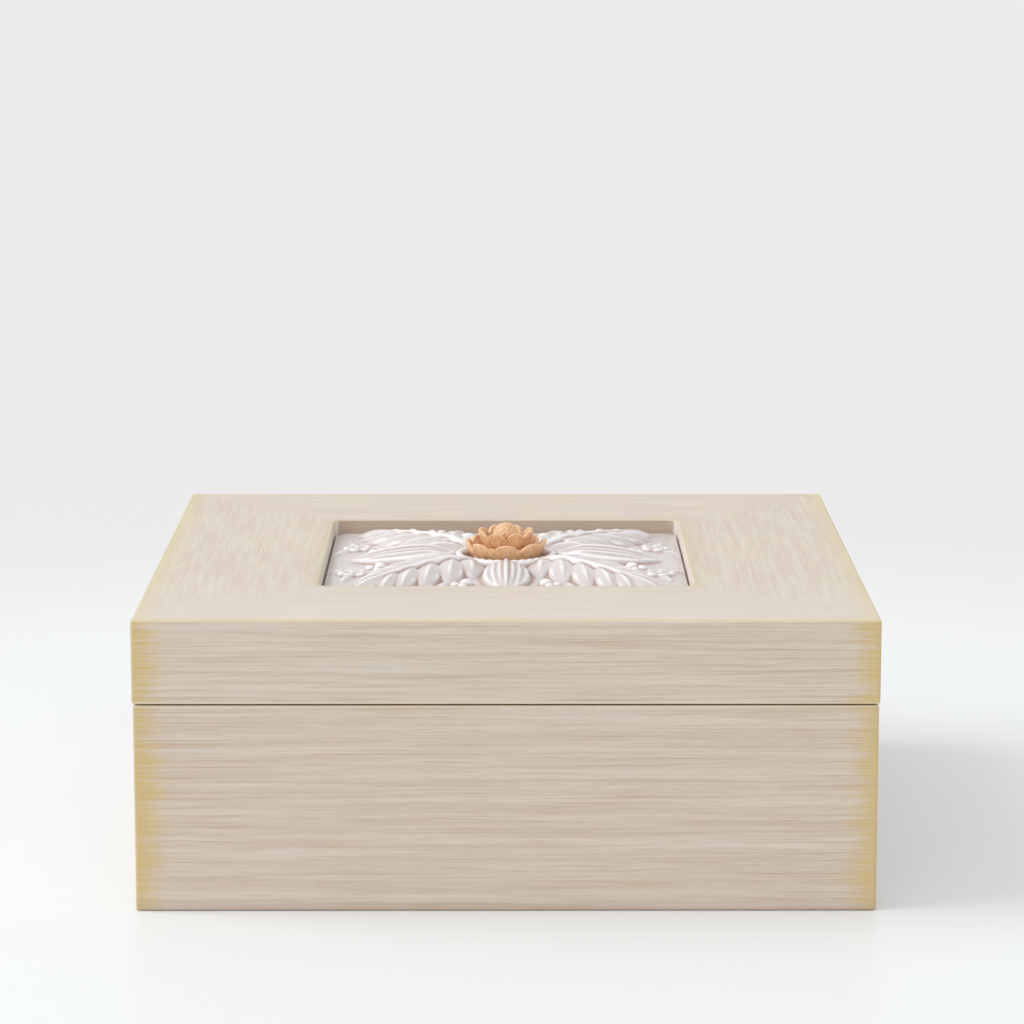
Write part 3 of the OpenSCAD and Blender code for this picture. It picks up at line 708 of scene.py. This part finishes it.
def carvedGrid(x, y):                # the grid's points on the carved surface, row by row
    count = math.isqrt(len(x))
    return np.stack([x, y, carving(x, y)[0]], 1).reshape(count, count, 3)


def neighbours(spots):               # the mean of each inner point's four neighbours
    return (spots[:-2, 1:-1] + spots[2:, 1:-1] + spots[1:-1, :-2] + spots[1:-1, 2:]) / 4


def evened(x, y):                    # draws the grid's inner points together on steep slopes
    farthest = panel["farthest"]
    for step in range(panel["rounds"]):
        spots = carvedGrid(x, y)
        normal = np.cross(spots[2:, 1:-1] - spots[:-2, 1:-1], spots[1:-1, 2:] - spots[1:-1, :-2])
        normal = normal / np.linalg.norm(normal, axis=2, keepdims=True)
        move = neighbours(spots) - spots[1:-1, 1:-1]
        move = move - (move * normal).sum(2, keepdims=True) * normal
        spots[1:-1, 1:-1, :2] += np.clip(panel["drawn"] * move[:, :, :2], -farthest, farthest)
        x, y = spots[:, :, 0].ravel(), spots[:, :, 1].ravel()
    return x, y


def softened(x, y):                  # the carved surface with its sharpest edges eased
    spots = carvedGrid(x, y)
    for step in range(panel["softening"]):
        spots[1:-1, 1:-1] = (spots[1:-1, 1:-1] + neighbours(spots)) / 2
    return spots.reshape(-1, 3)


def lowered(piece, height):          # draws the open edge straight down to a height
    bpy.ops.mesh.extrude_edges_move()
    bpy.ops.object.mode_set(mode="OBJECT")
    spots = points(piece)
    chosen = np.array([v.select for v in piece.data.vertices])
    spots[chosen, 2] = height
    setPoints(piece, spots)
    bpy.ops.object.mode_set(mode="EDIT")


def closeBelow(piece):               # sides, flange under the rails, and a flat back
    activate(piece)
    bpy.ops.object.mode_set(mode="EDIT")
    bpy.ops.mesh.select_mode(type="EDGE")
    bpy.ops.mesh.select_all(action="DESELECT")
    bpy.ops.mesh.select_non_manifold()
    lowered(piece, railLow + panel["flangeTop"])
    bpy.ops.mesh.extrude_edges_move()
    grow = flangeHalf / panelHalf
    bpy.ops.transform.resize(value=(grow, grow, 1), center_override=(0, 0, 0))
    lowered(piece, railLow)
    bpy.ops.mesh.edge_face_add()
    bpy.ops.mesh.select_all(action="SELECT")
    bpy.ops.mesh.normals_make_consistent(inside=False)
    bpy.ops.object.mode_set(mode="OBJECT")


def carvedPanel():
    piece = grid("carvedPanel", panel["cells"], panel["cells"], 2 * panelHalf * mm)
    spots = points(piece)
    x, y = spots[:, 0], spots[:, 1]

    # the outline's corners are rounded, less and less towards the middle
    ring = np.maximum(np.abs(x), np.abs(y))
    radius = panel["cornerR"] * (ring / panelHalf) ** panel["cornerPower"]
    corner = ring - radius
    inCorner = (np.abs(x) > corner) & (np.abs(y) > corner) & (radius > panel["leastR"])
    dx, dy = np.abs(x) - corner, np.abs(y) - corner
    pull = radius / np.maximum(np.hypot(dx, dy), tiny)
    x = np.where(inCorner, np.sign(x) * (corner + dx * pull), x)
    y = np.where(inCorner, np.sign(y) * (corner + dy * pull), y)

    spots = softened(*evened(x, y))
    setPoints(piece, spots)
    store(piece, "relief", spots[:, 2] - carving(spots[:, 0], spots[:, 1])[1])
    closeBelow(piece)
    store(piece, "crease", creases(piece, panel["creaseRounds"]))
    piece.data.materials.append(pearlFinish)
    bpy.ops.object.shade_smooth_by_angle(angle=math.radians(panel["smoothBelow"]))
    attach(piece, "lid")
    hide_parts("carved_panel")
    return piece


panelPiece = carvedPanel()
print("carved panel:", len(panelPiece.data.polygons), "faces")


# Rosette: two rings of petals on a turned core, and a button set with seeds

rosette = {
    "petals": 8, "columns": 48, "rows": 36,
    "notch": 0.62, "notchPower": 2.4,   # how deep petals part at the rim
    "tuck": 0.5,                     # how far one side slips behind the next petal
    "narrow": 0.82, "widen": 0.18,   # shares of the spread, at the foot and added above it
    "footShare": 0.7, "flareShare": 0.3, "flareEnd": 0.8,   # the same of the radius
    "tipOut": 0.4, "sidesBack": 0.4, "veinDeep": 0.14, "veinWide": 0.14,
    "outer": {"r": 11.1, "low": 0.0, "high": 6.7, "bulge": 0.6, "spread": 28.0, "turn": 0.0,
              "thick": 1.15},
    "inner": {"r": 7.4, "low": 3.4, "high": 9.7, "bulge": 0.55, "spread": 29.0, "turn": 22.5,
              "thick": 1.05},
    "core": [(0.0, 0.0), (8.6, 0.0), (10.2, 2.0), (10.6, 3.9), (8.0, 3.5), (6.2, 5.0), (6.9, 7.4),
             (4.0, 7.0), (0.0, 7.0)],
    "coreSteps": 64, "weld": 1e-6,
    "buttonR": 4.1, "segments": 128, "rings": 64,
    "seeds": 70, "seedR": 0.62, "seedDeep": 0.085, "seedTurn": 137.508,
    "voxel": 0.185, "softening": 8, "softShare": 0.5, "creaseRounds": 16,
}


def petal(spec):                     # an upright cupped petal: flared, round at the tip, with a shallow vein
    piece = grid("petal", rosette["columns"], rosette["rows"], 1)
    spots = points(piece) * mm
    b = spots[:, 1] * 2
    a = (spots[:, 0] + 0.5) * (1 - rosette["notch"] * np.abs(b) ** rosette["notchPower"])
    around = np.radians(spec["spread"]) * b * (rosette["narrow"] + rosette["widen"] * ease(a, 0, 0.5))
    bend = np.sin(np.clip(a / rosette["flareEnd"], 0, 1) * math.pi / 2)
    flare = rosette["footShare"] + rosette["flareShare"] * bend
    reach = spec["r"] * flare + rosette["tipOut"] * ease(a, 0.6, 1.0)
    reach = reach + spec["bulge"] * (1 - b * b) * ease(a, 0.0, 0.4) - rosette["sidesBack"] * np.abs(b) ** 3
    reach = reach + rosette["tuck"] * b * ease(a, 0.0, 0.3)
    vein = rosette["veinDeep"] * np.exp(-(b / rosette["veinWide"]) ** 2)
    reach = reach - vein * ease(a, 0.1, 0.35) * (1 - ease(a, 0.6, 0.9))
    z = seatZ + spec["low"] + (spec["high"] - spec["low"]) * a
    setPoints(piece, np.stack([reach * np.cos(around), reach * np.sin(around), z], 1))
    thicken(piece, spec["thick"])
    return piece


def petalRing(spec):
    first = petal(spec)
    ring = [first] + [added("petal", first.data.copy()) for i in range(1, rosette["petals"])]
    for i, piece in enumerate(ring):
        angle = math.radians(360 * i / rosette["petals"] + spec["turn"])
        piece.data.transform(Matrix.Rotation(angle, 4, "Z"))
    return ring


def turnedCore():
    mesh = bpy.data.meshes.new("core")
    piece = added("core", mesh)
    profile = [(r * mm, 0, (seatZ + z) * mm) for r, z in rosette["core"]]
    mesh.from_pydata(profile, [(i, i + 1) for i in range(len(profile) - 1)], [])
    activate(piece)
    bpy.ops.object.mode_set(mode="EDIT")
    bpy.ops.mesh.select_all(action="SELECT")
    bpy.ops.mesh.spin(steps=rosette["coreSteps"], angle=2 * math.pi, center=(0, 0, 0), axis=(0, 0, 1))
    bpy.ops.mesh.select_all(action="SELECT")
    bpy.ops.mesh.remove_doubles(threshold=rosette["weld"])
    bpy.ops.mesh.normals_make_consistent(inside=False)
    bpy.ops.object.mode_set(mode="OBJECT")
    return piece


def button():                        # a dome set with seeds in a spiral
    deselect()
    radius = rosette["buttonR"]
    top = rosetteHigh.z / mm
    bpy.ops.mesh.primitive_uv_sphere_add(segments=rosette["segments"], ring_count=rosette["rings"],
                                         radius=radius * mm)
    piece = bpy.context.object
    spots = points(piece)
    count = np.arange(rosette["seeds"])
    tilt = np.arccos(1 - (count + 0.5) / rosette["seeds"])
    spin = count * math.radians(rosette["seedTurn"])
    seeds = np.stack([np.sin(tilt) * np.cos(spin), np.sin(tilt) * np.sin(spin), np.cos(tilt)], 1) * radius
    nearest = np.linalg.norm(spots[:, None, :] - seeds[None, :, :], axis=2).min(1)
    swell = np.sqrt(np.clip(1 - (nearest / rosette["seedR"]) ** 2, 0, 1))
    spots = spots * (1 - rosette["seedDeep"] * (1 - swell))[:, None]
    spots[:, 2] += top - radius
    setPoints(piece, spots)
    return piece


def carvedRosette():
    parts = [turnedCore(), button()] + petalRing(rosette["outer"]) + petalRing(rosette["inner"])
    piece = joined(parts, "carvedRosette")
    remesh = piece.modifiers.new("one skin", "REMESH")
    remesh.mode = "VOXEL"
    remesh.voxel_size = rosette["voxel"] * mm
    soften = piece.modifiers.new("soften", "SMOOTH")
    soften.factor = rosette["softShare"]
    soften.iterations = rosette["softening"]
    applyAll(piece)
    spots = points(piece)
    spots[:, 2] = np.clip(spots[:, 2], seatZ, rosetteHigh.z / mm)
    setPoints(piece, spots)
    store(piece, "crease", creases(piece, rosette["creaseRounds"]))
    piece.data.materials.clear()
    piece.data.materials.append(honeyFinish)
    bpy.ops.object.shade_smooth()
    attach(piece, "lid")
    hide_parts("rosette")
    return piece


rosettePiece = carvedRosette()
print("rosette:", len(rosettePiece.data.polygons), "faces")


# Felt on the floor: a thin sheet with soft corners that lies a little uneven

feltLow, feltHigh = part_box("floor_felt")
felt = {"cells": 60, "cornerR": 3.0, "thick": 1.25, "lift": 0.02, "uneven": 0.1, "smoothBelow": 50,
        "longWave": (23.0, 31.0), "shortWave": (9.0, 13.0)}


def floorFelt():
    half = feltHigh.x / mm
    piece = grid("floorFelt", felt["cells"], felt["cells"], 2 * half * mm)
    spots = points(piece)
    x, y = spots[:, 0], spots[:, 1]
    radius = felt["cornerR"]
    cornerX, cornerY = np.abs(x) - half + radius, np.abs(y) - half + radius
    reach = np.hypot(np.maximum(cornerX, 0), np.maximum(cornerY, 0))
    pull = radius / np.maximum(reach, tiny)
    tucked = (cornerX > 0) & (cornerY > 0) & (reach > radius)
    x = np.where(tucked, np.sign(x) * (half - radius + cornerX * pull), x)
    y = np.where(tucked, np.sign(y) * (half - radius + cornerY * pull), y)
    longX, longY = felt["longWave"]
    shortX, shortY = felt["shortWave"]
    wave = np.sin(x / longX + 0.4) * np.cos(y / longY) + 0.5 * np.sin(x / shortX - y / shortY)
    z = feltLow.z / mm + felt["lift"] + felt["uneven"] * (wave + 1.5) / 3
    setPoints(piece, np.stack([x, y, z], 1))
    thicken(piece, felt["thick"])
    piece.data.materials.append(feltFinish)
    bpy.ops.object.shade_smooth_by_angle(angle=math.radians(felt["smoothBelow"]))
    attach(piece, "base")
    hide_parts("floor_felt")
    return piece


floorFelt()
print("felt: laid")


# Stage: floor, light and camera, in metres

stage = {
    "near": tone(243, 246, 248), "far": tone(233, 233, 233), "world": 0.69, "backdrop": tone(238, 238, 238),
    "floorSize": 14, "floorDrop": 0.0002, "floorFade": (220.0, 520.0),   # the fade in mm from the middle
    "key": {"from": 180.0, "height": 38.0, "spread": 46.0, "power": 1.2},
    "fill": {"from": 270.0, "height": 25.0, "spread": 70.0, "power": 0.6},
    "strip": {"place": (-0.5, -0.12, 0.42), "aim": (0, 0, 0.06), "size": 0.3, "power": 0.3},
    "cameraPlace": (0.0, -1.0948, 0.2852), "pitch": 9.95, "yaw": -0.094, "lens": 131.65, "sensor": 36,
}


def floorPaint():                    # brightest round the object
    f = Finish("pale floor")
    x, y, _ = f.place()
    away = f.node("ShaderNodeVectorMath", {"operation": "LENGTH"}, {0: f.vector(x, y, 0.0)}, output="Value")
    colour = f.blend(away.rise(*stage["floorFade"]), stage["near"], stage["far"])
    return f.done({"Base Color": colour, "Roughness": 0.3, "Specular IOR Level": 0.1})


def floor():
    deselect()
    bpy.ops.mesh.primitive_plane_add(size=stage["floorSize"], location=(0, 0, -stage["floorDrop"]))
    ground = bpy.context.object
    ground.name = "floor"
    ground.data.materials.append(floorPaint())


def studio():                        # even light from all round, and a pale backdrop where it is seen
    world = bpy.data.worlds.new("soft studio")
    bpy.context.scene.world = world
    world.use_nodes = True
    g = Graph(world.node_tree)
    seen = g.node("ShaderNodeLightPath", output="Is Camera Ray")
    for kind in ("Is Glossy Ray", "Is Transmission Ray"):
        rays = g.node("ShaderNodeLightPath", output=kind)
        seen = g.node("ShaderNodeMath", {"operation": "ADD", "use_clamp": True}, {0: seen, 1: rays})
    light = g.node("ShaderNodeBackground", inputs={"Color": (1, 1, 1, 1), "Strength": stage["world"]})
    shown = g.node("ShaderNodeBackground", inputs={"Color": stage["backdrop"]})
    either = g.node("ShaderNodeMixShader", inputs={0: seen, 1: light, 2: shown})
    g.node("ShaderNodeOutputWorld", inputs={"Surface": either})


def softLight(name, spec):           # a broad, even light from a compass direction, degrees
    data = bpy.data.lights.new(name, "SUN")
    data.energy = spec["power"]
    data.angle = math.radians(spec["spread"])
    lamp = added(name, data)
    lamp.rotation_euler = (math.radians(90 - spec["height"]), 0, math.radians(spec["from"] + 90))


def stripLight(name, spec):          # a near panel that makes the left a little brighter than the right
    data = bpy.data.lights.new(name, "AREA")
    data.energy = spec["power"]
    data.size = spec["size"]
    lamp = added(name, data)
    lamp.location = spec["place"]
    line = Vector(spec["aim"]) - Vector(spec["place"])
    lamp.rotation_euler = line.to_track_quat("-Z", "Y").to_euler()


def camera():
    data = bpy.data.cameras.new("camera")
    data.lens = stage["lens"]
    data.sensor_width = stage["sensor"]
    eye = added("camera", data)
    eye.location = stage["cameraPlace"]
    eye.rotation_euler = (math.radians(90 - stage["pitch"]), 0, math.radians(stage["yaw"]))
    bpy.context.scene.camera = eye


floor()
studio()
softLight("key", stage["key"])
softLight("fill", stage["fill"])
stripLight("strip", stage["strip"])
camera()
bpy.context.scene.view_settings.view_transform = "Standard"
print("stage: floor, three soft lights and the camera")
